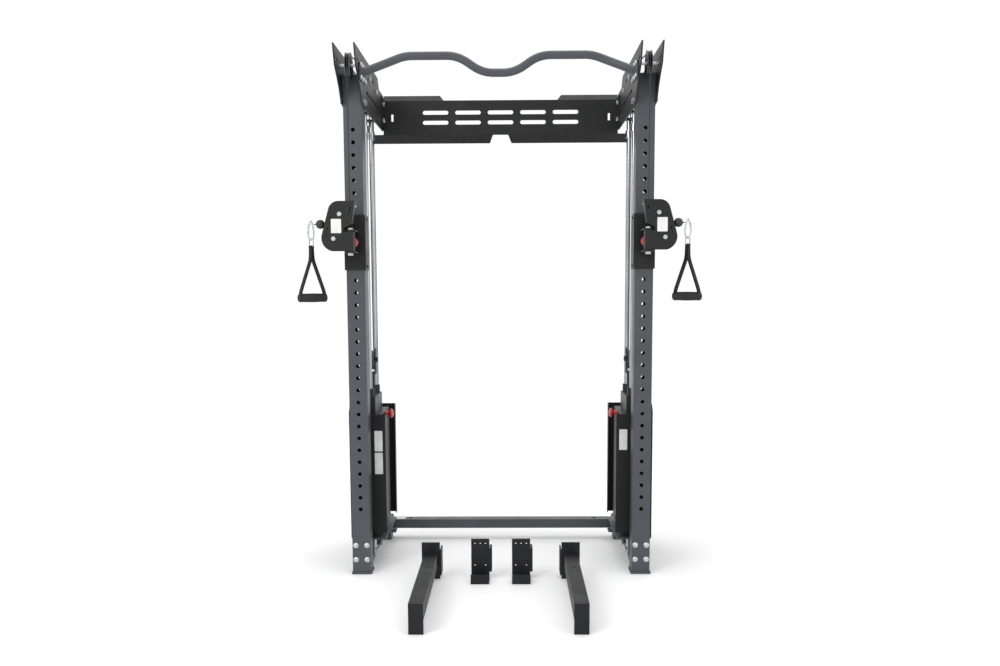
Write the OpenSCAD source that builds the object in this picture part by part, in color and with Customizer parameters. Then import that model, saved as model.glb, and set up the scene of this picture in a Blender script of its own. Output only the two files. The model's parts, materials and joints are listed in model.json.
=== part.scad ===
/* [Frame] */
// Overall width over the two uprights
frame_w = 1245; // [1235:1:1255]
// Height of the uprights
upright_h = 2040; // [2030:1:2050]
// Square size of the upright tube
tube = 75; // [74:0.5:76]
// Wall thickness of the upright tube
wall = 3; // [2.5:0.5:4]
// Diameter of the adjustment holes
hole_d = 16; // [15.5:0.5:16.5]
// Distance between adjustment holes
hole_pitch = 50; // [49:0.5:50]

/* [Weight stack] */
// Length of one weight plate, front to back
plate_l = 300; // [290:1:304]
// Width of one weight plate
plate_w = 100; // [90:1:104]
// Diameter of the guide rods
rod_d = 20; // [18:0.5:20.5]

/* [Cable] */
// Diameter of the steel cable
cable_d = 5; // [4:0.5:5]

/* [Hidden] */
$fn = 64;
ux = frame_w / 2 - tube / 2;
stack_x = ux - 23;
hole_z0 = 277;
hole_n = 32;
hinge_y = -115;
sx_in = 497;
plate_t = 5.5;
pin_z = hole_z0 + 22 * hole_pitch;
cr = cable_d / 2;
top_z = 2060;
rg = 45;
back_z = 2045;
back_r = 62;
trav_r = 42;
stack_y = 270;
trav_z = 885;
plate_h = 20;
pitch = 20.3;
n_static = 24;
stack_z0 = 150;
top_plate_z = stack_z0 + n_static * pitch;
head_z = top_plate_z + plate_h;
low_r = 42;
low_z = 66;
rod_off = 90;
front_tan = stack_y - trav_r;
rear_tan = stack_y + trav_r;
a_y = front_tan - rg;
b_y = rear_tan + back_r;
down_y = b_y + back_r;
lowr_y = down_y - low_r;
lowf_tan = 95;
lowf_y = lowf_tan + low_r;
car_z0 = 1269;
car_z1 = 1490;
car_in = tube / 2 + 0.75;
car_out = car_in + 5;
car_y = tube / 2;
up_u = 38;
up_z = 1484;
lo_u = 63;
lo_z = 1389;
arm_r = 38;
ball_u = 117;
ball_r = 18;
exit_z = up_z - arm_r;
set_dy = 26.5; // puts the middle of the whole set's outline on the origin

// ---- helpers ----
module placed() {
  translate([0, set_dy, 0]) children();
}
module side(s) {
  mirror([s < 0 ? 1 : 0, 0, 0]) children();
}
module both() {
  side(1) children();
  side(-1) children();
}
module box(x0, x1, y0, y1, z0, z1) {
  translate([x0, y0, z0]) cube([x1 - x0, y1 - y0, z1 - z0]);
}
module bar(p, q, r) {
  v = q - p;
  len = norm(v);
  translate(p) rotate([0, acos(v[2] / len), atan2(v[1], v[0])]) cylinder(h = len, r = r);
}
module cyl_x(x0, x1, y, z, r) {
  translate([x0, y, z]) rotate([0, 90, 0]) cylinder(h = x1 - x0, r = r);
}
module cyl_y(x, y0, y1, z, r) {
  translate([x, y1, z]) rotate([90, 0, 0]) cylinder(h = y1 - y0, r = r);
}
module hex_x(x0, x1, y, z, af) {
  translate([x0, y, z]) rotate([0, 90, 0]) cylinder(h = x1 - x0, d = af / cos(30), $fn = 6);
}
module hex_y(x, y0, y1, z, af) {
  translate([x, y1, z]) rotate([90, 0, 0]) cylinder(h = y1 - y0, d = af / cos(30), $fn = 6);
}
module sheave(rc, w, bore_r) {
  rf = rc + 5;
  b = rc - cr - 0.3;
  rotate_extrude() polygon([[bore_r, -w / 2], [rf, -w / 2], [rf, -w / 2 + 2], [b, -cr], [b, cr],
    [rf, w / 2 - 2], [rf, w / 2], [bore_r, w / 2]]);
}
module sheave_x(x, y, z, rc, w, bore_r) {
  difference() {
    translate([x, y, z]) rotate([0, 90, 0]) sheave(rc, w, bore_r);
    for (a = [0:60:300]) translate([x, y, z]) rotate([a, 0, 0]) translate([-w, 0, rc * 0.6])
      rotate([0, 90, 0]) cylinder(h = 2 * w, r = rc * 0.13);
  }
}
module arc_yz(x, y, z, rc, a0, a1) {
  translate([x, y, z]) rotate([0, -90, 0]) rotate([0, 0, a0]) rotate_extrude(angle = a1 - a0)
    translate([rc, 0]) circle(r = cr, $fn = 24);
}

// ---- fixed frame ----
module upright() {
  color("#4b5058") difference() {
    union() {
      difference() {
        box(ux - tube / 2, ux + tube / 2, 0, tube, 6, upright_h);
        box(ux - tube / 2 + wall, ux + tube / 2 - wall, wall, tube - wall, 7, upright_h + 1);
      }
      box(ux - tube / 2 - 4, ux + tube / 2 + 4, -4, tube + 4, 0, 6);
    }
    for (k = [0:hole_n - 1]) cyl_y(ux, -1, tube + 1, hole_z0 + k * hole_pitch, hole_d / 2);
  }
}
module upright_left() {
  side(-1) upright();
}
module upright_right() {
  side(1) upright();
}
module plate_shape(slots) {
  rotate([90, 0, 90]) linear_extrude(height = plate_t) difference() {
    polygon([[-190, 2120], [455, 2120], [500, 2077], [640, 2077], [640, 1932], [622, 1915], [56, 1915],
      [-18, 1925], [-62, 1976], [-104, 2010], [-156, 2046]]);
    for (p = [[-70, top_z], [a_y, top_z], [b_y, back_z]]) translate(p) circle(r = 6.05);
    if (slots) {
      translate([-150, 2066]) square([44, 9]);
      for (i = [0:2]) translate([236 + 34 * i, 2066]) square([20, 12]);
      for (i = [0:5]) translate([100 + 62 * i, 1984]) square([40, 14]);
    }
  }
}
module top_plates_inner() {
  color("#2b2d30") both() {
    translate([ux - tube / 2 - plate_t, 0, 0]) plate_shape(true);
    for (y = [stack_y - rod_off, stack_y + rod_off]) difference() {
      box(ux - tube / 2, ux + tube / 2, y - 22, y + 22, 1915, 1923);
      translate([stack_x, y, 1900]) cylinder(h = 40, r = rod_d / 2);
    }
  }
}
module top_plates_outer() {
  color("#2b2d30") both() translate([ux + tube / 2, 0, 0]) plate_shape(true);
}
module pull_up_bar() {
  xe = ux - tube / 2 - plate_t;
  y = -60;
  pts = [[-xe + 6, y, 2036], [-366, y, 2097], [-160, y, 2097], [-62, y, 2031], [62, y, 2031],
    [160, y, 2097], [366, y, 2097], [xe - 6, y, 2036]];
  color("#4b5058") {
    union() {
      for (i = [0:6]) bar(pts[i], pts[i + 1], 16);
      for (i = [1:6]) translate(pts[i]) sphere(r = 16.2);
      both() difference() {
        box(xe - 6, xe, y - 34, y + 36, 2006, 2072);
        for (a = [-24, 24]) for (b = [-22, 26]) cyl_x(xe - 10, xe + 1, y + a, 2036 + b, 4.5);
      }
      both() cyl_x(xe - 14, xe - 3, y, 2036, 20);
    }
  }
}
module rear_panel() {
  xe = ux - tube / 2 - plate_t;
  color("#2b2d30") difference() {
    union() {
      translate([-xe, 0, 0]) rotate([90, 0, 90]) linear_extrude(height = 2 * xe)
        polygon([[630, 1899], [665, 1864], [668, 1867], [634, 1901], [634, 2051], [660, 2077],
          [657, 2080], [630, 2053]]);
      both() translate([xe - 1, 0, 0]) rotate([90, 0, 90]) linear_extrude(height = 58)
        polygon([[631, 1898], [665, 1864], [668, 1867], [634, 1901]]);
      both() difference() {
        box(xe - 5, xe, 560, 634, 1930, 2060);
        cyl_x(xe - 6, xe + 1, 590, 1960, 5);
        cyl_x(xe - 6, xe + 1, 590, 2030, 5);
      }
    }
    translate([0, 700, 0]) rotate([90, 0, 0]) linear_extrude(height = 100)
      polygon([[-262, 2054], [-288, 2090], [288, 2090], [262, 2054]]);
    translate([0, 700, 0]) rotate([90, 0, 0]) linear_extrude(height = 100)
      polygon([[-57, 1850], [-35, 1898], [35, 1898], [57, 1850]]);
    for (i = [-2:2]) for (r = [0:1]) {
      box(150 * i - 50, 150 * i + 50, 620, 640, 1945 + 45 * r, 1963 + 45 * r);
      cyl_y(150 * i - 50, 620, 640, 1954 + 45 * r, 9);
      cyl_y(150 * i + 50, 620, 640, 1954 + 45 * r, 9);
    }
    for (x = [-500, 500]) box(x - 5, x + 5, 620, 640, 1960, 1992);
  }
}
module lower_cross_beam() {
  color("#4b5058") difference() {
    union() {
      box(-524, 524, 570, 630, 54, 96);
      both() box(524, 530, 560, 640, 36, 106);
    }
    box(-531, 531, 573, 627, 57, 93);
    both() cyl_x(520, 535, 566, 44, 4);
    both() cyl_x(520, 535, 634, 98, 4);
    both() translate([440, 600, 90]) cylinder(h = 10, r = 10);
  }
}
module base_rails() {
  color("#4b5058") both() {
    difference() {
      box(582, 632, tube + 4, 560, 50, 120);
      box(585, 629, tube, 570, 53, 117);
      for (y = [lowf_y, lowr_y]) cyl_x(570, 640, y, low_z, 5);
    }
    difference() {
      box(530, 640, 560, 640, 0, 110);
      box(534, 636, 564, 636, 4, 106);
    }
    difference() {
      box(495, 641, 108, 500, 120, 126);
      box(stack_x - 8, stack_x + 8, down_y - 8, down_y + 8, 119, 127);
    }
    box(500, 520, 500, 560, 50, 56);
    box(560, 632, tube, tube + 4, 20, 122);
  }
}
module guide_rods() {
  color("#c9ccd0") both() for (y = [stack_y - rod_off, stack_y + rod_off]) {
    translate([stack_x, y, 126]) cylinder(h = 1797, r = rod_d / 2);
    translate([stack_x, y, 1840]) difference() {
      cylinder(h = 30, r = rod_d / 2 + 6);
      translate([0, 0, -1]) cylinder(h = 32, r = rod_d / 2);
    }
  }
}
module stack_bumpers() {
  color("#1c1c1d") both() for (y = [stack_y - rod_off, stack_y + rod_off]) difference() {
    translate([stack_x, y, 126]) cylinder(h = stack_z0 - 126, r = 24);
    translate([stack_x, y, 125]) cylinder(h = 40, r = rod_d / 2 + 0.05);
  }
}
module weight_plate(z) {
  w = plate_w / 2;
  difference() {
    translate([stack_x, stack_y + plate_l / 2, z]) rotate([90, 0, 0])
      linear_extrude(height = plate_l) polygon([[-w + 2, 0], [w - 2, 0], [w, 2], [w, plate_h - 2],
        [w - 2, plate_h], [-w + 2, plate_h], [-w, plate_h - 2], [-w, 2]]);
    for (y = [stack_y - rod_off, stack_y + rod_off]) translate([stack_x, y, z - 1])
      cylinder(h = plate_h + 2, r = rod_d / 2 + 1);
    translate([stack_x, stack_y, z - 1]) cylinder(h = plate_h + 2, r = 13);
    cyl_x(stack_x - plate_w / 2 - 1, stack_x, stack_y, z + plate_h / 2, 5);
  }
}
module weight_plates() {
  color("#232426") both() for (i = [0:n_static - 1]) weight_plate(stack_z0 + i * pitch);
}
module shroud(y_face, y_lip, z0, z1, t) {
  ya = min(y_face, y_lip);
  yb = max(y_face, y_lip);
  yf = y_face < y_lip ? y_face : y_face - t;
  union() {
    box(490, 641, yf, yf + t, z0, z1);
    box(490, 493, ya, yb, z0, z1);
    box(638, 641, ya, yb, z0, z1);
  }
}
module front_shrouds() {
  color("#1f2022") both() shroud(108, 119, 150, 662, 3);
}
module rear_shrouds() {
  color("#1f2022") both() shroud(487, 452, 156, 666, 3);
}
module outer_covers() {
  color("#232427") both() rotate([90, 0, 90]) translate([0, 0, 641]) linear_extrude(height = 3)
    polygon([[108, 126], [487, 126], [487, 672], [457, 702], [138, 702], [108, 672]]);
}
module axle(x0, x1, y, z) {
  cyl_x(x0, x1, y, z, 6);
  hex_x(x0 - 7, x0, y, z, 19);
  hex_x(x1, x1 + 8, y, z, 19);
}
module frame_bolts() {
  xi = ux - tube / 2 - plate_t;
  xo = ux + tube / 2 + plate_t;
  color("#b9bcc0") both() {
    cyl_x(xi + 0.1, xo + 0.1, -70, top_z, 6);
    hex_x(xo + 0.1, xo + 8, -70, top_z, 19);
    axle(xi - 0.5, xo + 0.5, a_y, top_z);
    axle(xi - 0.5, xo + 0.5, b_y, back_z);
    for (y = [20, 55]) for (z = [1940, 2020]) {
      hex_x(xi - 8, xi, y, z, 17);
      hex_x(xo, xo + 8, y, z, 17);
    }
    for (x = [-23, 23]) for (z = [61, 122]) translate([ux + x, 0, z]) rotate([90, 0, 0]) rotate_extrude()
      polygon(concat([[0, 0]], arc_pts([0, -10], 16, 39, 90, 6)));
    for (y = [lowf_y, lowr_y]) {
      cyl_x(549, 582, y, low_z, 6);
      hex_x(536, 543, y, low_z, 19);
    }
    for (z = [1960, 2030]) hex_x(xi - 13, xi - 5, 590, z, 17);
    for (z = [200, 620]) {
      hex_x(644, 648, 150, z, 10);
      hex_x(644, 648, 440, z, 10);
    }
  }
}
module low_pulley_brackets() {
  color("#b7b9b4") both() for (y = [lowf_y, lowr_y]) difference() {
    box(543, 549, y - 24, y + 24, 44, 120);
    cyl_x(540, 552, y, low_z, 6);
  }
}

// ---- carriage with swivel arm ----
module carriage(s) {
  side(s) color("#26282b") difference() {
    union() {
      box(ux - car_out, ux + car_out, car_y - car_out, car_y + car_out, car_z0, car_z1);
      for (z = [1334, 1418]) {
        box(ux - 20, ux + 20, hinge_y, car_y - car_out + 1, z, z + 6);
        translate([ux, hinge_y, z]) cylinder(h = 6, r = 20);
      }
      cyl_y(ux, -30, car_y - car_out + 1, pin_z, 14);
      box(stack_x - 12, stack_x + 12, car_y + car_out - 1, lowf_tan + 7, car_z0, car_z0 + 8);
      for (z = [car_z0 + 15, car_z1 - 15]) hex_x(ux - car_out - 3, ux - car_out + 1, car_y, z, 10);
    }
    box(ux - car_in, ux + car_in, car_y - car_in, car_y + car_in, car_z0 - 1, car_z1 + 1);
    translate([ux, hinge_y, 1320]) cylinder(h = 120, r = 6.05);
    cyl_y(ux, -40, 5, pin_z, hole_d / 2);
    translate([stack_x, lowf_tan, car_z0 - 1]) cylinder(h = 10, r = cr + 0.4);
  }
}
module hinge_bolt(s) {
  side(s) color("#b9bcc0") translate([ux, hinge_y, 0]) {
    translate([0, 0, 1334]) cylinder(h = 90, r = 6);
    translate([0, 0, 1424]) cylinder(h = 7, d = 19 / cos(30), $fn = 6);
    translate([0, 0, 1324]) cylinder(h = 10, d = 19 / cos(30), $fn = 6);
  }
}
module pop_pin(s) {
  side(s) color("#a91f22") union() {
    cyl_y(ux, -41, -0.5, pin_z, hole_d / 2 - 0.05);
    translate([ux, -41, pin_z]) rotate([90, 0, 0]) rotate_extrude()
      polygon([[0, 0], [15, 0], [20, 5], [20, 16], [17, 23], [0, 26]]);
  }
}
function arc_pts(c, r, a0, a1, n) = [for (i = [0:n]) let (a = a0 + (a1 - a0) * i / n)
  [c[0] + r * cos(a), c[1] + r * sin(a)]];
module housing_outline(t) {
  polygon(concat([[-22 + t, 1535 - t]], arc_pts([42, 1494], 41 - t, 90, 18, 6),
    arc_pts([58, 1392], 53 - t, 8, -72, 8), t == 0 ? [[-15, 1341.5], [-15, 1416.5], [24, 1416.5]] :
    [[15.5, 1341.5 + t], [15.5, 1416.5 - t], [24 + t, 1416.5 - t]], [[24 + t, 1428 + t],
    [-8 + t, 1446 + t]]));
}
module swivel_housing(s) {
  side(s) translate([ux, hinge_y, 0]) {
    color("#232427") difference() {
      translate([0, 21, 0]) rotate([90, 0, 0]) linear_extrude(height = 42)
        housing_outline(0);
      translate([0, 17, 0]) rotate([90, 0, 0]) linear_extrude(height = 34)
        housing_outline(3);
      translate([0, 0, 1330]) cylinder(h = 100, r = 6.06);
      translate([0, 0, 1520]) cylinder(h = 30, r = 8);
      box(90, 125, -12, 12, 1430, 1468);
      cyl_y(up_u, -25, 25, up_z, 5);
      cyl_y(lo_u, -25, 25, lo_z, 5);
      for (p = [[-2, 1496], [88, 1415]]) translate([p[0], 0, p[1]]) rotate([0, -12, 0])
        box(-2, 2, -25, -15, -17, 17);
    }
    color("#b9bcc0") for (p = [[up_u, up_z], [lo_u, lo_z]]) {
      cyl_y(p[0], -21.05, 21.05, p[1], 4.95);
      hex_y(p[0], -27, -21.05, p[1], 16);
      hex_y(p[0], 21.05, 28, p[1], 16);
    }
  }
}
module arm_pulley(s, u, z) {
  side(s) color("#8d9196") difference() {
    translate([ux + u, hinge_y, z]) rotate([90, 0, 0]) sheave(arm_r, 20, 5.06);
    for (a = [0:72:288]) translate([ux + u, hinge_y, z]) rotate([0, a, 0]) translate([22, 0, 0])
      rotate([90, 0, 0]) translate([0, 0, -15]) cylinder(h = 30, r = 5);
  }
}
module cable_end(s) {
  side(s) color("#2e2f31") translate([ux, hinge_y, 0]) union() {
    bar([0, 0, up_z], [0, 0, 1545], cr);
    translate([up_u, 0, up_z]) rotate([90, 0, 0]) rotate([0, 0, 180]) rotate_extrude(angle = 90)
      translate([arm_r, 0]) circle(r = cr, $fn = 24);
    bar([up_u, 0, exit_z], [ball_u + ball_r + 5, 0, exit_z], cr);
    translate([ball_u, 0, exit_z]) sphere(r = ball_r);
  }
}
module pull_handle(s) {
  hx = ux + ball_u + ball_r + 14;
  side(s) translate([hx, hinge_y, 0]) {
    color("#b9bcc0") union() {
      for (z = [1450, 1396]) translate([6, 0, z]) rotate([90, 0, 0]) rotate([0, 0, z > 1400 ? 0 : 180])
        rotate_extrude(angle = 180) translate([11, 0]) circle(r = 3.5);
      for (x = [-5, 17]) bar([x, 0, 1396], [x, 0, 1450], 3.5);
    }
    color("#b9bcc0") translate([6, 0, 1371]) rotate([0, 90, -35]) rotate_extrude()
      translate([14, 0]) circle(r = 3);
    color("#1b1b1c") translate([6, 0, 0]) rotate([0, 0, -35]) {
      box(-20, 20, -1.5, 1.5, 1300, 1352);
      for (m = [0, 1]) mirror([m, 0, 0]) {
        translate([0, -1.5, 0]) rotate([90, 0, 0]) mirror([0, 0, 1]) linear_extrude(height = 3)
          polygon([[4, 1300], [20, 1300], [58, 1178], [58, 1140], [54, 1140], [54, 1176]]);
      }
      difference() {
        cyl_x(-52, 52, 0, 1159, 17.5);
        cyl_x(-60, 60, 0, 1159, 13);
      }
      for (x = [-57, 52.5]) cyl_x(x, x + 1.5, 0, 1159, 15);
      cyl_x(-57, 57, 0, 1159, 4);
    }
  }
}

// ---- cables ----
module cable_front(s) {
  side(s) color("#2e2f31") bar([ux, hinge_y, 1545.2], [ux, hinge_y, top_z], cr);
}
module cable_rear(s) {
  side(s) color("#2e2f31") bar([stack_x, lowf_tan, low_z + 0.2], [stack_x, lowf_tan, car_z0 + 20], cr);
}
module cable_fixed() {
  color("#2e2f31") both() {
    union() {
      arc_yz(ux, -70, top_z, rg, -90, 0);
      bar([ux, -70, top_z + rg], [stack_x, a_y, top_z + rg], cr);
      arc_yz(stack_x, a_y, top_z, rg, 0, 90);
    }
    arc_yz(stack_x, b_y, back_z, back_r, -90, 90);
    union() {
      bar([stack_x, down_y, low_z], [stack_x, down_y, back_z], cr);
      arc_yz(stack_x, lowr_y, low_z, low_r, 90, 180);
      bar([stack_x, lowf_y, low_z - low_r], [stack_x, lowr_y, low_z - low_r], cr);
      arc_yz(stack_x, lowf_y, low_z, low_r, 180, 270);
    }
  }
}
module cable_stack(s) {
  side(s) color("#2e2f31") union() {
    bar([stack_x, front_tan, trav_z], [stack_x, front_tan, top_z - 0.2], cr);
    bar([stack_x, rear_tan, trav_z], [stack_x, rear_tan, back_z - 0.2], cr);
    arc_yz(stack_x, stack_y, trav_z, trav_r, 90, 270);
  }
}

// ---- lifting parts ----
module lift_head(s) {
  side(s) {
    color("#232426") weight_plate(top_plate_z);
    color("#34363a") difference() {
      union() {
        box(stack_x - 24, stack_x + 24, stack_y - 110, stack_y + 110, head_z, head_z + 75);
        for (y = [stack_y - rod_off, stack_y + rod_off]) translate([stack_x, y, head_z + 70])
          cylinder(h = 38, r = 18);
        translate([stack_x, stack_y, head_z + 70]) cylinder(h = 100, r = 9);
        box(stack_x - 17, stack_x + 17, stack_y - 25, stack_y + 25, trav_z - 62, trav_z - 54);
        for (x = [-17, 13]) box(stack_x + x, stack_x + x + 4, stack_y - 22, stack_y + 22,
          trav_z - 62, trav_z + 48);
      }
      for (y = [stack_y - rod_off, stack_y + rod_off]) translate([stack_x, y, head_z - 1])
        cylinder(h = 120, r = rod_d / 2 + 0.5);
      cyl_x(stack_x - 20, stack_x + 20, stack_y, trav_z, 6);
    }
    color("#b9bcc0") {
      difference() {
        translate([stack_x, stack_y, 156]) cylinder(h = head_z - 156, r = 11);
        for (i = [0:n_static]) cyl_x(stack_x - 20, stack_x + 2, stack_y,
          stack_z0 + i * pitch + plate_h / 2, 5);
      }
      cyl_x(stack_x - 17, stack_x + 17, stack_y, trav_z, 6);
      hex_x(stack_x - 24, stack_x - 17, stack_y, trav_z, 19);
      hex_x(stack_x + 17, stack_x + 25, stack_y, trav_z, 19);
    }
  }
}
module selector_pin(s) {
  z = top_plate_z + plate_h / 2;
  side(s) color("#a91f22") union() {
    cyl_x(sx_in - 8, stack_x + 1, stack_y, z, 4.95);
    translate([stack_x - plate_w / 2 - 1, stack_y, z]) rotate([0, -90, 0]) rotate_extrude()
      polygon([[0, 0], [10, 0], [9, 16], [12, 20], [19, 23], [20, 28], [18, 33], [12, 36], [0, 37]]);
  }
}

// ---- sheaves of the fixed frame and of the lifting head ----
module top_front_pulley() {
  color("#8d9196") sheave_x(ux, -70, top_z, rg, 20, 6.06);
}
module top_mid_pulley() {
  color("#8d9196") sheave_x(stack_x, a_y, top_z, rg, 20, 6.06);
}
module top_back_pulley() {
  color("#8d9196") sheave_x(stack_x, b_y, back_z, back_r, 20, 6.06);
}
module low_pulley(y) {
  color("#8d9196") sheave_x(stack_x, y, low_z, low_r, 20, 6.06);
}
module travel_pulley() {
  color("#8d9196") sheave_x(stack_x, stack_y, trav_z, trav_r, 20, 6.06);
}

// ---- rack attachments standing on the floor ----
module j_cup(x) {
  translate([x, -62, 0]) color("#1f2022") union() {
    difference() {
      box(-37.5, 37.5, -8, 0, 0, 168);
      for (x = [-22, 0, 22]) cyl_y(x, -9, 1, 149, 3);
      for (x = [-22, 22]) cyl_y(x, -9, 1, 58, 3);
    }
    box(-37.5, 37.5, -82, 0, 0, 8);
    box(-37.5, 37.5, -82, -74, 0, 38);
    difference() {
      box(37.5, 47.5, -8, 60, 30, 128);
      cyl_x(36, 49, 40, 80, 5);
    }
    cyl_y(0, 0, 24, 128, 7.5);
  }
}
module spotter_arm(s) {
  side(s) translate([288, -62, 0]) color("#1f2022") union() {
    box(-37.5, 37.5, -8, 0, 0, 153);
    difference() {
      box(-26.5, 26.5, -653, -4, 50, 110);
      box(-23.5, 23.5, -654, -4, 53, 107);
      translate([0, -220, 96]) cylinder(h = 20, r = 5);
    }
    box(-26.5, 26.5, -659, -653, 0, 110);
    box(-43.5, -37.5, -8, 70, 14, 122);
    cyl_y(6, 0, 24, 138, 7.5);
    box(-20, 20, -60, -8, 44, 50);
  }
}

placed() upright_left();
placed() upright_right();
placed() top_plates_inner();
placed() top_plates_outer();
placed() pull_up_bar();
placed() rear_panel();
placed() lower_cross_beam();
placed() base_rails();
placed() guide_rods();
placed() stack_bumpers();
placed() weight_plates();
placed() front_shrouds();
placed() rear_shrouds();
placed() outer_covers();
placed() frame_bolts();
placed() low_pulley_brackets();
placed() cable_fixed();
placed() carriage(-1);  // carriage_left
placed() carriage(1);  // carriage_right
placed() hinge_bolt(-1);  // hinge_bolt_left
placed() hinge_bolt(1);  // hinge_bolt_right
placed() pop_pin(-1);  // pop_pin_left
placed() pop_pin(1);  // pop_pin_right
placed() swivel_housing(-1);  // swivel_housing_left
placed() swivel_housing(1);  // swivel_housing_right
placed() arm_pulley(-1, up_u, up_z);  // arm_pulley_upper_left
placed() arm_pulley(1, up_u, up_z);  // arm_pulley_upper_right
placed() arm_pulley(-1, lo_u, lo_z);  // arm_pulley_lower_left
placed() arm_pulley(1, lo_u, lo_z);  // arm_pulley_lower_right
placed() cable_end(-1);  // cable_end_left
placed() cable_end(1);  // cable_end_right
placed() pull_handle(-1);  // pull_handle_left
placed() pull_handle(1);  // pull_handle_right
placed() cable_front(-1);  // cable_front_left
placed() cable_front(1);  // cable_front_right
placed() cable_rear(-1);  // cable_rear_left
placed() cable_rear(1);  // cable_rear_right
placed() side(-1) top_front_pulley();  // top_front_pulley_left
placed() side(1) top_front_pulley();  // top_front_pulley_right
placed() side(-1) top_mid_pulley();  // top_mid_pulley_left
placed() side(1) top_mid_pulley();  // top_mid_pulley_right
placed() side(-1) top_back_pulley();  // top_back_pulley_left
placed() side(1) top_back_pulley();  // top_back_pulley_right
placed() side(-1) low_pulley(lowr_y);  // low_rear_pulley_left
placed() side(1) low_pulley(lowr_y);  // low_rear_pulley_right
placed() side(-1) low_pulley(lowf_y);  // low_front_pulley_left
placed() side(1) low_pulley(lowf_y);  // low_front_pulley_right
placed() lift_head(-1);  // lift_head_left
placed() lift_head(1);  // lift_head_right
placed() side(-1) travel_pulley();  // travel_pulley_left
placed() side(1) travel_pulley();  // travel_pulley_right
placed() selector_pin(-1);  // selector_pin_left
placed() selector_pin(1);  // selector_pin_right
placed() cable_stack(-1);  // cable_stack_left
placed() cable_stack(1);  // cable_stack_right
placed() j_cup(-84);  // j_cup_left
placed() j_cup(84);  // j_cup_right
placed() spotter_arm(-1);  // spotter_arm_left
placed() spotter_arm(1);  // spotter_arm_right
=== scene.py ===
import bpy
import bmesh
import json
import math
from mathutils import Matrix, Vector


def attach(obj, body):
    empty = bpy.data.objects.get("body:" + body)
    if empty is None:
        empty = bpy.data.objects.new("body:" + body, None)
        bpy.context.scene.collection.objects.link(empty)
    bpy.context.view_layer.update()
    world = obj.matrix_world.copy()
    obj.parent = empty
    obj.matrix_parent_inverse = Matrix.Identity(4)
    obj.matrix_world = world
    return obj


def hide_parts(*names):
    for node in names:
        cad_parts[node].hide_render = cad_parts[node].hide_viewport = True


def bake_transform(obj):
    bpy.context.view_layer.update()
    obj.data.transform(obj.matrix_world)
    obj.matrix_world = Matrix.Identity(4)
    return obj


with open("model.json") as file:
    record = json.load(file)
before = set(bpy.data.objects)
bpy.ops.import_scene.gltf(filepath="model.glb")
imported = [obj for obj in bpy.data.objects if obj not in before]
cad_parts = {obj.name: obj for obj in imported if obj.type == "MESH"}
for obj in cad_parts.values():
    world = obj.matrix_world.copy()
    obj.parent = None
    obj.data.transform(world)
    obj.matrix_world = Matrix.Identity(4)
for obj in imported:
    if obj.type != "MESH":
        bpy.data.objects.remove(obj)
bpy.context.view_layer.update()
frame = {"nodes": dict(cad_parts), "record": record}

nodes = frame["nodes"]
SIDES = (("left", -1.0), ("right", 1.0))
X_AXIS, Y_AXIS, Z_AXIS = Vector((1, 0, 0)), Vector((0, 1, 0)), Vector((0, 0, 1))

# Places in metres as they are before the set is shifted; SET_DY is added when an object is made.
SET_DY = 0.0265  # the CAD puts the middle of the whole set on the origin
UX = 0.585  # middle of an upright
TUBE_HALF = 0.0375  # half the width of an upright, whose front face is at y = 0
UPRIGHT_CAP_Z = 2.0365
STACK_X = 0.562  # middle of a weight stack
HINGE_Y = -0.115  # hinge axis of the swivel housing

CABLE_R = 0.0025
CABLE_TOP_Z = 2.060  # top end of the front run and of the front strand
FRONT_RUN_END_Z = 1.544  # lower end, on the carriage
REAR_RUN_Y = 0.095
REAR_RUN_LOW_Z = 0.066
REAR_RUN_END_Z = 1.289  # upper end, on the carriage
FRONT_STRAND_Y = 0.228
BACK_STRAND_Y = 0.312
BACK_STRAND_TOP_Z = 2.045
TRAVEL_Y, TRAVEL_Z = 0.270, 0.885  # centre of the travelling pulley
TRAVEL_R = 0.042  # radius of the cable on the travelling pulley

BAR_Y = -0.060
BAR_R = 0.016
BAR_END_Z = 2.036
BAR_HALF = [(0.531, BAR_END_Z), (0.366, 2.097), (0.160, 2.097), (0.062, 2.031)]  # x and z, outside in
BAR_BENDS = (0.03, 0.045, 0.045, 0.045, 0.045, 0.03)
FLANGE_X, FLANGE_Z = 0.5415, 2.039
FLANGE_BOLT_X, FLANGE_BOLT_Z, FLANGE_BOLT_STEP = 0.5355, 2.038, 0.024

ARM_REACH = 0.155  # from the hinge axis out to where the handle hangs
HANDLE_TURN = 35.0  # degrees that the handle is turned about the vertical
HOOK_Z, EYE_Z, RING_Z, GRIP_Z = 1.423, 1.446, 1.374, 1.159
STRAP_LEG = [(0.0030, 1.360), (0.0034, 1.335), (0.0050, 1.308), (0.0460, 1.192), (0.0500, 1.178),
             (0.0500, 1.166)]  # x and z from the ring down to the end of the grip
PLATE_T, PLATE_CORNER = 0.0006, 0.003  # blank pale plates
THIN_PIECE = 0.03  # bolts and rods of a CAD piece are narrower than this


# ---------------------------------------------------------------- camera
CAMERA_PLACE = (0.048, -4.0, 1.202)  # 4 m is a choice; the photo does not settle the distance
CAMERA_TURN = (0.696, 90.0 - 6.36, -0.269)  # yaw, pitch and roll in degrees
CAMERA_LENS = 35.2
CAMERA_SHIFT_Y = 0.062


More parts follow.
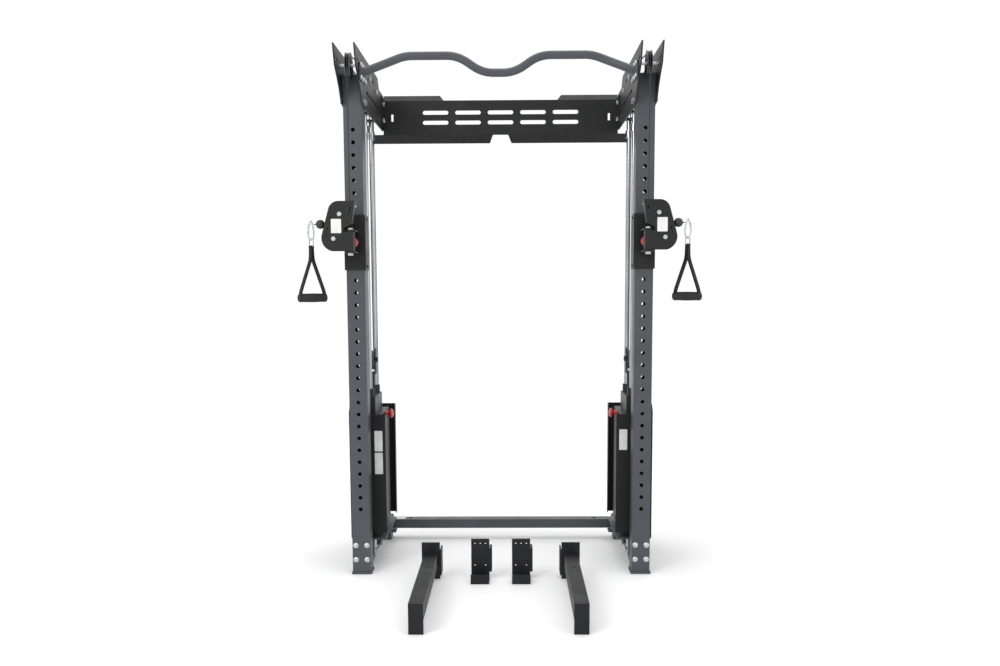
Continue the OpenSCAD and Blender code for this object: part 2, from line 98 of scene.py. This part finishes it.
def make_camera():
    data = bpy.data.cameras.new("camera")
    data.sensor_width = 36.0
    data.lens = CAMERA_LENS
    data.shift_y = CAMERA_SHIFT_Y
    data.clip_end = 60.0
    cam = bpy.data.objects.new("camera", data)
    bpy.context.scene.collection.objects.link(cam)
    yaw, pitch, roll = (math.radians(a) for a in CAMERA_TURN)
    turn = Matrix.Rotation(yaw, 4, "Z") @ Matrix.Rotation(pitch, 4, "X")
    turn = turn @ Matrix.Rotation(roll, 4, "Z")
    x, y, z = CAMERA_PLACE
    cam.matrix_world = Matrix.Translation((x, y + SET_DY, z)) @ turn
    bpy.context.scene.camera = cam


make_camera()


# ---------------------------------------------------------------- materials
class Tree:
    """A short way to write a node material."""

    def __init__(self, name):
        self.mat = bpy.data.materials.new(name)
        self.mat.use_nodes = True
        self.nt = self.mat.node_tree
        self.nt.nodes.clear()
        self.out = self.nt.nodes.new("ShaderNodeOutputMaterial")
        self.bsdf = self.nt.nodes.new("ShaderNodeBsdfPrincipled")
        self.nt.links.new(self.bsdf.outputs[0], self.out.inputs[0])
        self.coord = self.nt.nodes.new("ShaderNodeTexCoord").outputs["Object"]

    def node(self, kind, **values):
        n = self.nt.nodes.new(kind)
        for key, value in values.items():
            if hasattr(n, key) and key not in n.inputs:
                setattr(n, key, value)
            else:
                self.put(n.inputs[key], value)
        return n

    def put(self, socket, value):
        if isinstance(value, bpy.types.NodeSocket):
            self.nt.links.new(value, socket)
        else:
            socket.default_value = value

    def scaled(self, sx, sy, sz):
        m = self.node("ShaderNodeMapping")
        self.put(m.inputs["Vector"], self.coord)
        m.inputs["Scale"].default_value = (sx, sy, sz)
        return m.outputs[0]

    def noise(self, scale, detail=3.0, rough=0.6, vector=None):
        n = self.node("ShaderNodeTexNoise")
        self.put(n.inputs["Vector"], vector or self.coord)
        n.inputs["Scale"].default_value = scale
        n.inputs["Detail"].default_value = detail
        n.inputs["Roughness"].default_value = rough
        return n.outputs["Fac"]

    def ramp(self, fac, stops):
        n = self.node("ShaderNodeValToRGB")
        self.put(n.inputs[0], fac)
        e = n.color_ramp.elements
        while len(e) < len(stops):
            e.new(0.5)
        for slot, (pos, col) in zip(e, stops):
            slot.position = pos
            slot.color = (*col, 1.0) if len(col) == 3 else col
        return n.outputs[0]

    def remap(self, fac, a, b, c, d):
        n = self.node("ShaderNodeMapRange")
        self.put(n.inputs["Value"], fac)
        for key, v in (("From Min", a), ("From Max", b), ("To Min", c), ("To Max", d)):
            n.inputs[key].default_value = v
        return n.outputs[0]

    def mix(self, fac, a, b, blend="MIX"):
        n = self.nt.nodes.new("ShaderNodeMix")
        n.data_type = "RGBA"
        n.blend_type = blend
        self.put(n.inputs[0], fac)
        self.put(n.inputs[6], (*a, 1.0) if isinstance(a, tuple) else a)
        self.put(n.inputs[7], (*b, 1.0) if isinstance(b, tuple) else b)
        return n.outputs[2]

    def bump(self, height, strength, distance, normal=None):
        n = self.node("ShaderNodeBump")
        self.put(n.inputs["Height"], height)
        n.inputs["Strength"].default_value = strength
        n.inputs["Distance"].default_value = distance
        if normal is not None:
            self.put(n.inputs["Normal"], normal)
        return n.outputs[0]

    def soft_edge(self, radius):
        n = self.node("ShaderNodeBevel")
        n.samples = 4
        n.inputs["Radius"].default_value = radius
        return n.outputs[0]

    def edge_mask(self, soft):
        geo = self.nt.nodes.new("ShaderNodeNewGeometry")
        dot = self.nt.nodes.new("ShaderNodeVectorMath")
        dot.operation = "DOT_PRODUCT"
        self.put(dot.inputs[0], soft)
        self.put(dot.inputs[1], geo.outputs["Normal"])
        return self.remap(dot.outputs["Value"], 0.995, 0.8, 0.0, 1.0)

    def finish(self, **inputs):
        for key, value in inputs.items():
            name = key.replace("_", " ")
            if isinstance(value, tuple):
                value = (*value, 1.0)
            self.put(self.bsdf.inputs[name], value)
        return self.mat


def powder_coat(name, dark, light, rough, grain=700.0, edge_radius=0.0015, edge_lift=0.35,
                gloss=0.25):
    """Textured powder coat: fine orange-peel grain, faint cloudiness, dust and rubbed edges."""
    t = Tree(name)
    soft = t.soft_edge(edge_radius)
    cloud = t.noise(5.0, 4.0)
    base = t.ramp(cloud, [(0.35, dark), (0.7, light)])
    speck = t.noise(grain * 0.6, 2.0)
    fleck = tuple(c * 1.6 + 0.004 for c in light)
    base = t.mix(t.remap(speck, 0.55, 0.75, 0.0, 0.35), base, fleck)
    dust = t.noise(2.2, 6.0, 0.7)
    base = t.mix(t.remap(dust, 0.58, 0.8, 0.0, 0.06), base, (0.22, 0.21, 0.20))
    rub = t.mix(t.edge_mask(soft), (0.0, 0.0, 0.0), (1.0, 1.0, 1.0))
    rubbed = t.mix(t.noise(60.0, 3.0), (0.0, 0.0, 0.0), rub)
    worn = tuple(c * 2.6 + 0.02 for c in light)
    base = t.mix(t.remap(rubbed, 0.0, 1.0, 0.0, edge_lift), base, worn)
    peel = t.bump(t.noise(grain, 2.0), 0.22, 0.0004, soft)
    wave = t.bump(t.noise(grain * 0.22, 2.0), 0.10, 0.0008, peel)
    r = t.remap(t.noise(14.0, 5.0), 0.3, 0.7, rough - 0.05, rough + 0.07)
    return t.finish(Base_Color=base, Roughness=r, Normal=wave, Metallic=0.0,
                    Specular_IOR_Level=gloss)


def bright_metal(name, low, high, rough, streak=(8.0, 8.0, 900.0), edge=0.0006, stain=0.25):
    """Plated or machined steel with fine tool marks and slight staining."""
    t = Tree(name)
    soft = t.soft_edge(edge)
    marks = t.noise(1.0, 3.0, 0.6, t.scaled(*streak))
    base = t.ramp(marks, [(0.3, low), (0.7, high)])
    spots = t.noise(35.0, 6.0, 0.7)
    base = t.mix(t.remap(spots, 0.55, 0.8, 0.0, stain), base, tuple(c * 0.45 for c in low))
    r = t.remap(t.noise(45.0, 4.0), 0.3, 0.7, rough - 0.05, rough + 0.08)
    n = t.bump(marks, 0.08, 0.0002, soft)
    return t.finish(Base_Color=base, Roughness=r, Normal=n, Metallic=1.0)


def soft_black(name, low, high, rough, grain, strength, distance, coat=0.0):
    """Rubber, foam and cable sheath: fine pores with scuffs."""
    t = Tree(name)
    soft = t.soft_edge(0.0008)
    base = t.ramp(t.noise(18.0, 5.0), [(0.35, low), (0.7, high)])
    scuff = t.noise(90.0, 6.0, 0.75)
    base = t.mix(t.remap(scuff, 0.62, 0.8, 0.0, 0.4), base, tuple(c * 2.5 + 0.02 for c in high))
    n = t.bump(t.noise(grain, 3.0), strength, distance, soft)
    r = t.remap(t.noise(30.0, 4.0), 0.3, 0.7, rough - 0.06, rough + 0.06)
    return t.finish(Base_Color=base, Roughness=r, Normal=n, Coat_Weight=coat)


def webbing_material(name):
    """Woven nylon: crossing ribs, loose fibre colour and a soft sheen."""
    t = Tree(name)
    uv = t.nt.nodes.new("ShaderNodeTexCoord").outputs["UV"]

    def ribs(angle, scale):
        m = t.node("ShaderNodeMapping")
        t.put(m.inputs["Vector"], uv)
        m.inputs["Rotation"].default_value = (0.0, 0.0, angle)
        w = t.node("ShaderNodeTexWave")
        t.put(w.inputs["Vector"], m.outputs[0])
        w.inputs["Scale"].default_value = scale
        w.inputs["Distortion"].default_value = 0.6
        w.inputs["Detail"].default_value = 1.0
        return w.outputs["Fac"]

    weave = t.mix(0.5, ribs(0.62, 110.0), ribs(-0.62, 110.0))
    base = t.ramp(weave, [(0.25, (0.004, 0.004, 0.005)), (0.8, (0.013, 0.013, 0.014))])
    base = t.mix(t.remap(t.noise(300.0, 4.0), 0.5, 0.8, 0.0, 0.25), base, (0.03, 0.03, 0.032))
    n = t.bump(weave, 0.6, 0.0006)
    return t.finish(Base_Color=base, Roughness=0.82, Normal=n, Sheen_Weight=0.04,
                    Sheen_Roughness=0.5, Specular_IOR_Level=0.2)


def rope_material(name, low, high, metallic, rough, pitch):
    """Laid cable: diagonal strands seen through a thin sheath."""
    t = Tree(name)
    w = t.node("ShaderNodeTexWave")
    w.wave_type = "BANDS"
    w.bands_direction = "DIAGONAL"
    t.put(w.inputs["Vector"], t.coord)
    w.inputs["Scale"].default_value = pitch
    w.inputs["Distortion"].default_value = 0.4
    base = t.ramp(w.outputs["Fac"], [(0.2, low), (0.8, high)])
    grease = t.noise(12.0, 5.0)
    base = t.mix(t.remap(grease, 0.5, 0.8, 0.0, 0.5), base, low)
    n = t.bump(w.outputs["Fac"], 0.2, 0.0003)
    return t.finish(Base_Color=base, Roughness=rough, Normal=n, Metallic=metallic)


def label_material(name):
    """Blank pale plate, cloudy and finely scratched."""
    t = Tree(name)
    base = t.ramp(t.noise(25.0, 5.0), [(0.3, (0.62, 0.62, 0.60)), (0.75, (0.80, 0.80, 0.78))])
    scratch = t.noise(1.0, 4.0, 0.7, t.scaled(60.0, 60.0, 900.0))
    base = t.mix(t.remap(scratch, 0.62, 0.75, 0.0, 0.5), base, (0.35, 0.35, 0.34))
    n = t.bump(t.noise(500.0, 2.0), 0.05, 0.0002)
    return t.finish(Base_Color=base, Roughness=0.42, Normal=n)


MAT = {
    "frame_paint": powder_coat("slate_powder_coat", (0.047, 0.053, 0.061),
                               (0.061, 0.069, 0.079), 0.42, gloss=0.4),
    "black_paint": powder_coat("black_powder_coat", (0.0090, 0.0092, 0.0096),
                               (0.0135, 0.0138, 0.0146), 0.44, gloss=0.28),
    "shroud_paint": powder_coat("shroud_powder_coat", (0.0068, 0.0069, 0.0074),
                                (0.0105, 0.0106, 0.0116), 0.48, grain=900.0),
    "stack_iron": powder_coat("painted_iron", (0.0155, 0.0160, 0.0176), (0.0240, 0.0248, 0.0272),
                              0.42, grain=420.0, edge_radius=0.0012, edge_lift=0.6),
    "attachment_paint": powder_coat("attachment_coat", (0.0076, 0.0080, 0.0092),
                                    (0.0116, 0.0122, 0.0140), 0.48),
    "rod_chrome": bright_metal("chrome_rod", (0.36, 0.37, 0.39), (0.50, 0.51, 0.53), 0.15,
                               streak=(40.0, 40.0, 5.0), stain=0.06),
    "zinc_steel": bright_metal("zinc_steel", (0.44, 0.46, 0.47), (0.62, 0.64, 0.65), 0.30),
    "sheave_metal": bright_metal("turned_sheave", (0.10, 0.10, 0.11), (0.20, 0.20, 0.21), 0.36),
    "bumper_rubber": soft_black("bumper_rubber", (0.010, 0.010, 0.010), (0.020, 0.020, 0.020),
                                0.7, 500.0, 0.3, 0.0006),
    "cable_steel": rope_material("sheathed_cable", (0.008, 0.008, 0.009), (0.022, 0.022, 0.024),
                                 0.0, 0.42, 260.0),
    "red_plastic": soft_black("red_anodised", (0.42, 0.010, 0.016), (0.55, 0.018, 0.024),
                              0.34, 600.0, 0.12, 0.0003, coat=0.3),
    "handle_webbing": webbing_material("nylon_webbing"),
    "foam": soft_black("handle_foam", (0.008, 0.008, 0.009), (0.016, 0.016, 0.017), 0.78,
                       900.0, 0.55, 0.0008),
    "label": label_material("blank_label"),
    "bronze": bright_metal("bronze_washer", (0.50, 0.34, 0.16), (0.66, 0.47, 0.24), 0.34),
    "thread": soft_black("stitch_thread", (0.030, 0.030, 0.032), (0.06, 0.06, 0.062), 0.8,
                         900.0, 0.4, 0.0003),
}
slot_of = {s["node"]: s["material_slot"] for s in frame["record"]["subparts"]}


def islands(mesh):
    """Groups of polygons whose corners share a place."""
    parent = {}

    def find(a):
        while parent[a] != a:
            parent[a] = parent[parent[a]]
            a = parent[a]
        return a

    keys = [tuple(round(c * 20000) for c in v.co) for v in mesh.vertices]
    for k in keys:
        parent.setdefault(k, k)
    for p in mesh.polygons:
        first = find(keys[p.vertices[0]])
        for v in p.vertices[1:]:
            other = find(keys[v])
            parent[other] = first
    groups = {}
    for p in mesh.polygons:
        groups.setdefault(find(keys[p.vertices[0]]), []).append(p)
    return list(groups.values())


def extent(mesh, polys):
    pts = [mesh.vertices[v].co for p in polys for v in p.vertices]
    low = Vector([min(p[i] for p in pts) for i in range(3)])
    high = Vector([max(p[i] for p in pts) for i in range(3)])
    return low, high


def dress_cad():
    """Gives each CAD piece its material; the bolts and rods of two kinds are bare steel."""
    for name, obj in nodes.items():
        obj.data.materials.clear()
        obj.data.materials.append(MAT[slot_of[name]])
    for s, _ in SIDES:
        for kind in ("lift_head_", "swivel_housing_"):
            mesh = nodes[kind + s].data
            mesh.materials.append(MAT["zinc_steel"])
            for polys in islands(mesh):
                low, high = extent(mesh, polys)
                size = high - low
                width = sorted(size)[1] if kind == "lift_head_" else max(size.x, size.z)
                if width < THIN_PIECE:
                    for p in polys:
                        p.material_index = 1


dress_cad()


# ---------------------------------------------------------------- mesh helpers
def new_object(name, bm, material, smooth=True, body=None):
    mesh = bpy.data.meshes.new(name)
    bm.transform(Matrix.Translation((0.0, SET_DY, 0.0)))
    bm.normal_update()
    bm.to_mesh(mesh)
    bm.free()
    obj = bpy.data.objects.new(name, mesh)
    bpy.context.scene.collection.objects.link(obj)
    mesh.materials.append(MAT[material])
    if smooth:
        mesh.shade_smooth()
    if body:
        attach(obj, body)
    return obj


def smooth_path(points, bend, steps=8):
    """Rounds each corner of a polyline with an arc-like blend."""
    pts = [Vector(p) for p in points]
    out = [pts[0]]
    bends = bend if isinstance(bend, tuple) else (bend,) * (len(pts) - 2)
    for a, b, c, r in zip(pts, pts[1:], pts[2:], bends):
        u = (a - b).normalized() * min(r, (a - b).length * 0.49)
        v = (c - b).normalized() * min(r, (c - b).length * 0.49)
        for i in range(steps + 1):
            f = i / steps
            out.append((b + u) * (1 - f) ** 2 + b * 2 * f * (1 - f) + (b + v) * f ** 2)
    out.append(pts[-1])
    return out


def sweep(bm, path, ring, closed=False, uv_scale=1.0):
    """Sweeps a ring of (side, normal) offsets along a path without twist."""
    count = len(path)
    tangents = []
    for i in range(count):
        a = path[(i - 1) % count] if closed or i else path[0]
        b = path[(i + 1) % count] if closed or i < count - 1 else path[-1]
        tangents.append((b - a).normalized())
    normal = tangents[0].orthogonal().normalized()
    loops = []
    for p, tan in zip(path, tangents):
        normal = (normal - tan * normal.dot(tan)).normalized()
        side = tan.cross(normal)
        loops.append([bm.verts.new(p + side * a + normal * b) for a, b in ring])
    n = len(ring)
    uv = bm.loops.layers.uv.verify()
    last = count if closed else count - 1
    run = 0.0
    for i in range(last):
        j = (i + 1) % count
        step = (path[j] - path[i]).length
        for k in range(n):
            m = (k + 1) % n
            face = bm.faces.new((loops[i][k], loops[i][m], loops[j][m], loops[j][k]))
            for corner, (du, dv) in zip(face.loops, ((0, 0), (0, 1), (1, 1), (1, 0))):
                corner[uv].uv = ((run + du * step) * uv_scale, (k + dv) / n * 0.1 * uv_scale)
        run += step
    if not closed:
        bm.faces.new(loops[0])
        bm.faces.new(list(reversed(loops[-1])))


def angles(count):
    return [2 * math.pi * i / count for i in range(count)]


def round_ring(radius, count):
    return [(radius * math.cos(a), radius * math.sin(a)) for a in angles(count)]


def lathe(bm, profile, matrix, count=32):
    """Turns (radius, height) pairs about local Z."""
    loops = []
    for r, h in profile:
        loops.append([bm.verts.new(matrix @ Vector((r * math.cos(a), r * math.sin(a), h)))
                      for a in angles(count)])
    for a, b in zip(loops, loops[1:]):
        for i in range(count):
            j = (i + 1) % count
            bm.faces.new((a[i], a[j], b[j], b[i]))
    bm.faces.new(list(reversed(loops[0])))
    bm.faces.new(loops[-1])


def rounded_plate(bm, centre, u, v, w, h, t, corner):
    """Thin plate with rounded corners: its face lies along u and v, its thickness across them."""
    n = u.cross(v)
    outline = []
    for cx, cy, start in ((1, 1, 0), (-1, 1, 90), (-1, -1, 180), (1, -1, 270)):
        for i in range(6):
            a = math.radians(start + 18 * i)
            outline.append((cx * (w / 2 - corner) + corner * math.cos(a),
                            cy * (h / 2 - corner) + corner * math.sin(a)))
    rims = []
    for depth, inset in ((0.0, 0.0), (t * 0.6, 0.0), (t, t * 0.5)):
        k = (w - 2 * inset) / w
        rims.append([bm.verts.new(centre + u * a * k + v * b * k + n * depth) for a, b in outline])
    for a, b in zip(rims, rims[1:]):
        for i in range(len(a)):
            j = (i + 1) % len(a)
            bm.faces.new((a[i], a[j], b[j], b[i]))
    bm.faces.new(list(reversed(rims[0])))
    bm.faces.new(rims[-1])


# ---------------------------------------------------------------- pull-up bar, smooth bends
def facing_in(m):
    """Turns local Z towards the middle of the set."""
    return Matrix.Rotation(math.radians(-90 * m), 4, "Y")


def pull_up_bar():
    pts = [(-x, BAR_Y, z) for x, z in BAR_HALF] + [(x, BAR_Y, z) for x, z in reversed(BAR_HALF)]
    bm = bmesh.new()
    sweep(bm, smooth_path(pts, BAR_BENDS, 12), round_ring(BAR_R, 32))
    for m in (-1, 1):
        turn = Matrix.Translation((m * FLANGE_X, BAR_Y, BAR_END_Z)) @ facing_in(m)
        lathe(bm, [(0.0175, 0.0), (0.0225, 0.004), (0.021, 0.009), (0.0162, 0.015)], turn)
        centre = Vector((m * FLANGE_X, BAR_Y + 0.001, FLANGE_Z))
        rounded_plate(bm, centre, Vector((0, -m, 0)), Z_AXIS, 0.070, 0.066, 0.006, 0.008)
    obj = new_object("pull_up_bar_tube", bm, "frame_paint", body="frame")
    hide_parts("pull_up_bar")
    head = [(0.0085, 0.0), (0.0085, 0.001), (0.0068, 0.0012), (0.0068, 0.005), (0.0058, 0.006)]
    bm = bmesh.new()
    for m in (-1, 1):
        for a in (-1, 1):
            for b in (-1, 1):
                place = (m * FLANGE_BOLT_X, BAR_Y + a * FLANGE_BOLT_STEP,
                         FLANGE_BOLT_Z + b * FLANGE_BOLT_STEP)
                lathe(bm, head, Matrix.Translation(place) @ facing_in(m), 24)
    new_object("bar_flange_bolts", bm, "zinc_steel", body="frame")


pull_up_bar()


# ---------------------------------------------------------------- cables, straight at their present length
def cable_run(name, x, y, z_fixed, z_moving, node=None):
    """A straight cable from a fixed end to an end that a moving body carries."""
    bm = bmesh.new()
    low, high = sorted((z_fixed, z_moving))
    path = [Vector((x, y, low)), Vector((x, y, high))]
    sweep(bm, path, round_ring(CABLE_R, 16))
    obj = new_object(name, bm, "cable_steel")
    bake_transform(obj)
    if node:
        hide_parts(node)
    return obj


def cables():
    for s, m in SIDES:
        carriage, head, x = "carriage_" + s, "lift_head_" + s, m * STACK_X
        cable_run("front_run_" + s, m * UX, HINGE_Y, CABLE_TOP_Z, FRONT_RUN_END_Z,
                  "cable_front_" + s)
        cable_run("rear_run_" + s, x, REAR_RUN_Y, REAR_RUN_LOW_Z, REAR_RUN_END_Z,
                  "cable_rear_" + s)
        front = cable_run("stack_strand_front_" + s, x, FRONT_STRAND_Y, CABLE_TOP_Z, TRAVEL_Z)
        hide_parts("cable_stack_" + s)
        cable_run("stack_strand_back_" + s, x, BACK_STRAND_Y, BACK_STRAND_TOP_Z, TRAVEL_Z)
        # half turn under the travelling pulley
        bm = bmesh.new()
        path = []
        for i in range(25):
            a = math.pi * i / 24
            path.append(Vector((x, TRAVEL_Y - TRAVEL_R * math.cos(a), TRAVEL_Z - TRAVEL_R * math.sin(a))))
        sweep(bm, path, round_ring(CABLE_R, 16))
        new_object("stack_wrap_" + s, bm, "cable_steel", body="lift_head_" + s)


cables()


# ---------------------------------------------------------------- D-handle
def hook_and_ring(s, m, x0, turn, body):
    # snap hook: a pear-shaped wire loop with a gate
    bm = bmesh.new()
    loop = []
    for a in angles(48):
        width = 0.0102 + 0.0040 * math.cos(a)
        loop.append(Vector((x0 + math.sin(a) * width, HINGE_Y, HOOK_Z - 0.038 * math.cos(a))))
    sweep(bm, loop, round_ring(0.0029, 12), closed=True)
    gate = [Vector((x0 + m * 0.0092, HINGE_Y, EYE_Z)), Vector((x0 + m * 0.0122, HINGE_Y, 1.410))]
    sweep(bm, gate, round_ring(0.0033, 14))
    new_object("snap_hook_" + s, bm, "zinc_steel", body=body)
    # crimped eye that the snap hook hangs in
    bm = bmesh.new()
    eye = [Vector((x0 - m * (0.0085 - 0.0052 * math.cos(a)), HINGE_Y + 0.0052 * math.sin(a), EYE_Z))
           for a in angles(28)]
    sweep(bm, eye, round_ring(0.0013, 10), closed=True)
    new_object("cable_eye_" + s, bm, "zinc_steel", body="swivel_arm_" + s)
    # welded ring
    bm = bmesh.new()
    ring = []
    for a in angles(40):
        c, n = math.cos(a), math.sin(a)
        ring.append(turn @ Vector((0.0, math.copysign(0.0195 * abs(c) ** 0.6, c),
                                   RING_Z + math.copysign(0.0160 * abs(n) ** 0.6, n))))
    sweep(bm, ring, round_ring(0.0026, 12), closed=True)
    new_object("d_ring_" + s, bm, "zinc_steel", body=body)


def strap_and_stitches(s, turn, body):
    # webbing: one strap that loops over the ring and runs down to both ends of the grip
    bm = bmesh.new()
    half_w, half_t = 0.0150, 0.0016
    flat = [(-half_w, -half_t), (-half_w * 0.5, -half_t * 1.15), (half_w * 0.5, -half_t * 1.15),
            (half_w, -half_t), (half_w, half_t), (half_w * 0.5, half_t * 1.15),
            (-half_w * 0.5, half_t * 1.15), (-half_w, half_t)]
    for side in (-1, 1):
        path = smooth_path([(side * x, 0.0, z) for x, z in STRAP_LEG], 0.014, 6)
        strap_ribbon(bm, path, flat, turn)
    arch = []
    for i in range(13):
        a = math.pi * i / 12
        arch.append(Vector((0.0034 * math.cos(a) * 1.3, 0.0, 1.358 + 0.0034 * math.sin(a) * 1.4)))
    strap_ribbon(bm, arch, flat, turn)
    strap = new_object("webbing_strap_" + s, bm, "handle_webbing", body=body)
    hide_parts("pull_handle_" + s)
    # bar-tack stitching through both layers
    bm = bmesh.new()
    for row in range(5):
        for k in range(7):
            for face in (-1, 1):
                z = 1.312 + 0.0042 * row
                y = -0.0108 + 0.0036 * k
                x = face * (0.0066 - 0.0002 * row)
                a = turn @ Vector((x, y - 0.0010, z))
                b = turn @ Vector((x, y + 0.0010, z + 0.0012))
                sweep(bm, [a, b], round_ring(0.00045, 6))
    new_object("bar_tacks_" + s, bm, "thread", body=body)


def grip(s, turn, body):
    # foam tube, slightly ribbed
    axis = turn @ Matrix.Translation((0.0, 0.0, GRIP_Z)) @ Matrix.Rotation(math.radians(90), 4, "Y")
    bm = bmesh.new()
    profile = [(0.0105, -0.0555), (0.0155, -0.0555), (0.0168, -0.0540), (0.0172, -0.049)]
    for i in range(17):
        h = -0.045 + 0.090 * i / 16
        profile.append((0.0170 + 0.0005 * math.cos(h * 60.0), h))
    profile += [(0.0172, 0.049), (0.0168, 0.0540), (0.0155, 0.0555), (0.0105, 0.0555)]
    lathe(bm, profile, axis, 40)
    new_object("foam_grip_" + s, bm, "foam", body=body)
    # a ring over each end
    rim = [(0.0150, 0.0), (0.0150, 0.0015), (0.0142, 0.0022), (0.0085, 0.0024), (0.0080, 0.0010)]
    bm = bmesh.new()
    for side in (-1, 1):
        cap = axis @ Matrix.Translation((0.0, 0.0, side * 0.0558)) @ Matrix.Scale(side, 4, Z_AXIS)
        lathe(bm, rim, cap, 36)
    bmesh.ops.recalc_face_normals(bm, faces=bm.faces)
    new_object("grip_end_rings_" + s, bm, "foam", body=body)


def handle(s, m):
    body = "handle_" + s
    x0 = m * (UX + ARM_REACH)
    turn = Matrix.Translation((x0, HINGE_Y, 0.0))
    turn = turn @ Matrix.Rotation(-m * math.radians(HANDLE_TURN), 4, "Z")
    hook_and_ring(s, m, x0, turn, body)
    strap_and_stitches(s, turn, body)
    grip(s, turn, body)


def strap_ribbon(bm, path, flat, turn):
    """A flat strap in the local XZ plane, its width along local Y."""
    uv = bm.loops.layers.uv.verify()
    loops = []
    run = 0.0
    runs = []
    for i, p in enumerate(path):
        a = path[max(i - 1, 0)]
        b = path[min(i + 1, len(path) - 1)]
        tan = (b - a).normalized()
        normal = Y_AXIS.cross(tan)
        if i:
            run += (p - path[i - 1]).length
        runs.append(run)
        loops.append([bm.verts.new(turn @ (p + Y_AXIS * w + normal * t)) for w, t in flat])
    n = len(flat)
    for i in range(len(path) - 1):
        for k in range(n):
            j = (k + 1) % n
            face = bm.faces.new((loops[i][k], loops[i][j], loops[i + 1][j], loops[i + 1][k]))
            marks = ((runs[i], flat[k][0]), (runs[i], flat[j][0]), (runs[i + 1], flat[j][0]),
                     (runs[i + 1], flat[k][0]))
            for corner, (a, b) in zip(face.loops, marks):
                corner[uv].uv = (a * 8.0, b * 8.0)
    bm.faces.new(list(reversed(loops[0])))
    bm.faces.new(loops[-1])
    bmesh.ops.recalc_face_normals(bm, faces=bm.faces)


for side_name, sign in SIDES:
    handle(side_name, sign)


# ---------------------------------------------------------------- small parts
def pale_plate(bm, centre, v, w, h):
    """A blank plate whose face lies along X and v."""
    rounded_plate(bm, Vector(centre), X_AXIS, v, w, h, PLATE_T, PLATE_CORNER)


def small_parts():
    for s, m in SIDES:
        # bronze thrust washers at the hinge ears
        bm = bmesh.new()
        for z in (1.4169, 1.3401):
            lathe(bm, [(0.0125, 0.0), (0.0128, 0.0003), (0.0128, 0.0008), (0.0125, 0.0010)],
                  Matrix.Translation((m * UX, HINGE_Y, z)), 32)
        new_object("hinge_washers_" + s, bm, "bronze", body="carriage_" + s)
        # blank plate on the swivel housing
        bm = bmesh.new()
        pale_plate(bm, (m * (UX + 0.052), HINGE_Y - 0.0211, 1.438), Z_AXIS, 0.040, 0.055)
        new_object("housing_plate_" + s, bm, "label", smooth=False, body="swivel_arm_" + s)
        # weld beads round the foot of the upright
        bm = bmesh.new()
        e = TUBE_HALF + 0.0015
        corners = [(-e, -e), (e, -e), (e, e), (-e, e)]
        path = []
        for (ax, ay), (bx, by) in zip(corners, corners[1:] + corners[:1]):
            for i in range(26):
                f = i / 26
                wob = 0.0008 * math.sin(i * 2.4)
                path.append(Vector((m * UX + ax + (bx - ax) * f, TUBE_HALF + ay + (by - ay) * f,
                                    0.0072 + wob)))
        sweep(bm, path, round_ring(0.0032, 8), closed=True)
        new_object("foot_weld_" + s, bm, "frame_paint", body="frame")
        # plastic cap in the top of the upright
        bm = bmesh.new()
        rounded_plate(bm, Vector((m * UX, TUBE_HALF, UPRIGHT_CAP_Z)), X_AXIS, Y_AXIS,
                      0.0685, 0.0685, 0.0045, 0.006)
        new_object("upright_cap_" + s, bm, "bumper_rubber", smooth=False, body="frame")
    # blank pale plates on the front shrouds
    bm = bmesh.new()
    for m, z, h in ((-1, 0.548, 0.088), (-1, 0.452, 0.092), (1, 0.552, 0.088)):
        pale_plate(bm, (m * 0.520, 0.1078, z), Z_AXIS, 0.034, h)
    new_object("shroud_plates", bm, "label", smooth=False, body="frame")
    # pale plate on the cross beam
    bm = bmesh.new()
    pale_plate(bm, (-0.494, 0.600, 0.0960), Y_AXIS, 0.060, 0.030)
    new_object("beam_plate", bm, "label", smooth=False, body="frame")


small_parts()


# ---------------------------------------------------------------- floor, world and lights
FLOOR_HALF = 14.0
FLOOR_Z = -0.0004  # just under the feet, so that the two faces do not share a plane
WORLD_STRENGTH = 1.03


def studio():
    bm = bmesh.new()
    for x, y in ((-1, -1), (1, -1), (1, 1), (-1, 1)):
        bm.verts.new((x * FLOOR_HALF, y * FLOOR_HALF, FLOOR_Z))
    bm.faces.new(bm.verts[:])
    mesh = bpy.data.meshes.new("floor")
    bm.to_mesh(mesh)
    bm.free()
    floor = bpy.data.objects.new("floor", mesh)
    bpy.context.scene.collection.objects.link(floor)
    t = Tree("pale_floor")
    base = t.ramp(t.noise(0.6, 2.0), [(0.3, (0.965, 0.965, 0.965)), (0.7, (0.975, 0.975, 0.975))])
    mesh.materials.append(t.finish(Base_Color=base, Roughness=0.6))

    bpy.context.scene.view_settings.view_transform = "Standard"
    world = bpy.data.worlds.new("studio")
    world.use_nodes = True
    bpy.context.scene.world = world
    back = world.node_tree.nodes["Background"]
    back.inputs[0].default_value = (1.0, 1.0, 1.0, 1.0)
    back.inputs[1].default_value = WORLD_STRENGTH

    def area(name, place, target, size_x, size_y, power):
        data = bpy.data.lights.new(name, "AREA")
        data.shape = "RECTANGLE"
        data.size = size_x
        data.size_y = size_y
        data.energy = power
        obj = bpy.data.objects.new(name, data)
        obj.location = place
        obj.rotation_euler = (Vector(target) - Vector(place)).to_track_quat("-Z", "Y").to_euler()
        bpy.context.scene.collection.objects.link(obj)

    area("key", (-2.6, -3.6, 3.4), (0.0, 0.0, 1.0), 1.6, 2.2, 62.0)
    area("fill", (3.2, -3.2, 2.0), (0.0, 0.2, 1.0), 1.6, 2.4, 12.0)
    area("top", (0.0, 0.4, 4.2), (0.0, 0.2, 0.0), 2.8, 2.0, 25.0)


studio()
